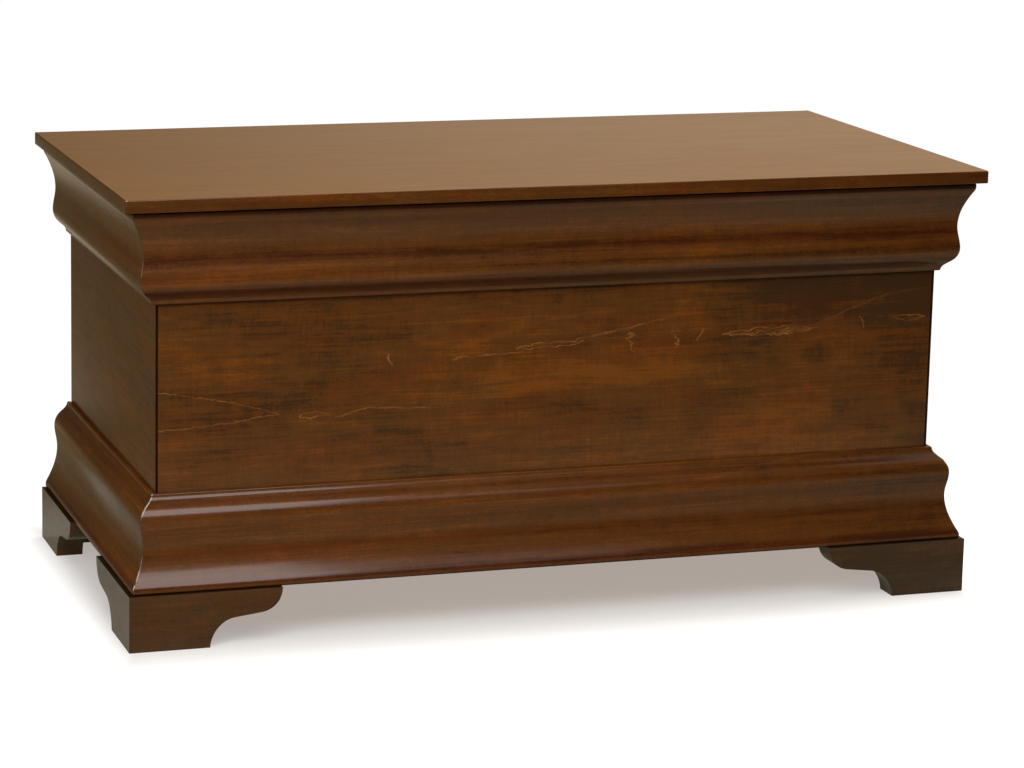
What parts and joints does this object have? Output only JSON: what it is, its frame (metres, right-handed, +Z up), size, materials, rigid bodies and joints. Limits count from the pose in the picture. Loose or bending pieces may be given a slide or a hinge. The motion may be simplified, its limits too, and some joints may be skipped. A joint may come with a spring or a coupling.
{
  "type": "blanket chest",
  "caption": "Low wooden blanket chest: flat hinged lid over a deep plain box, ogee crown and base mouldings, sawn bracket feet.",
  "frame": {"origin": "on the floor under the middle of the lid", "axes": "+X along the front to the right, +Y to the back, +Z up"},
  "size_m": [1.2192, 0.6096, 0.6037],
  "materials": {
    "case_wood": "dark red-brown stain under semi-gloss lacquer",
    "lid_wood": "brown stain under semi-gloss lacquer",
    "inner_wood": "bare, planed",
    "hinge_brass": "dulled",
    "screw_brass": "dulled",
    "pin_steel": "plain",
    "bumper_rubber": "soft"
  },
  "bodies": {
    "case": {"front_panel": "case_wood", "back_panel": "case_wood", "left_end_panel": "case_wood", "right_end_panel": "case_wood", "crown_moulding_front": "case_wood", "crown_moulding_left": "case_wood", "crown_moulding_right": "case_wood", "base_moulding_front": "case_wood", "base_moulding_left": "case_wood", "base_moulding_right": "case_wood", "foot_front_left_face": "case_wood", "foot_front_right_face": "case_wood", "foot_front_left_side": "case_wood", "foot_front_right_side": "case_wood", "foot_rear_left_side": "case_wood", "foot_rear_right_side": "case_wood", "bottom_panel": "inner_wood", "bottom_cleat_front": "inner_wood", "bottom_cleat_back": "inner_wood", "bottom_cleat_left": "inner_wood", "bottom_cleat_right": "inner_wood", "foot_rear_left_back": "inner_wood", "foot_rear_right_back": "inner_wood", "foot_block_front_left": "inner_wood", "foot_block_front_right": "inner_wood", "foot_block_rear_left": "inner_wood", "foot_block_rear_right": "inner_wood", "lid_bumper_left": "bumper_rubber", "lid_bumper_right": "bumper_rubber", "hinge_case_leaf_left": "hinge_brass", "hinge_case_leaf_middle": "hinge_brass", "hinge_case_leaf_right": "hinge_brass", "hinge_pin_left": "pin_steel", "hinge_pin_middle": "pin_steel", "hinge_pin_right": "pin_steel", "case_screw_left_1": "screw_brass", "case_screw_left_2": "screw_brass", "case_screw_left_3": "screw_brass", "case_screw_middle_1": "screw_brass", "case_screw_middle_2": "screw_brass", "case_screw_middle_3": "screw_brass", "case_screw_right_1": "screw_brass", "case_screw_right_2": "screw_brass", "case_screw_right_3": "screw_brass"},
    "lid": {"lid_panel": "lid_wood", "lid_batten_left": "lid_wood", "lid_batten_right": "lid_wood", "hinge_lid_leaf_left": "hinge_brass", "hinge_lid_leaf_middle": "hinge_brass", "hinge_lid_leaf_right": "hinge_brass", "lid_screw_left_1": "screw_brass", "lid_screw_left_2": "screw_brass", "lid_screw_left_3": "screw_brass", "lid_screw_middle_1": "screw_brass", "lid_screw_middle_2": "screw_brass", "lid_screw_middle_3": "screw_brass", "lid_screw_right_1": "screw_brass", "lid_screw_right_2": "screw_brass", "lid_screw_right_3": "screw_brass"}
  },
  "joints": [
    {"name": "lid_hinge", "type": "hinge", "parent": "case", "child": "lid", "pos_m": [0, 0.2996, 0.5819], "axis": [-1, 0, 0], "range_deg": [0, 85]}
  ]
}
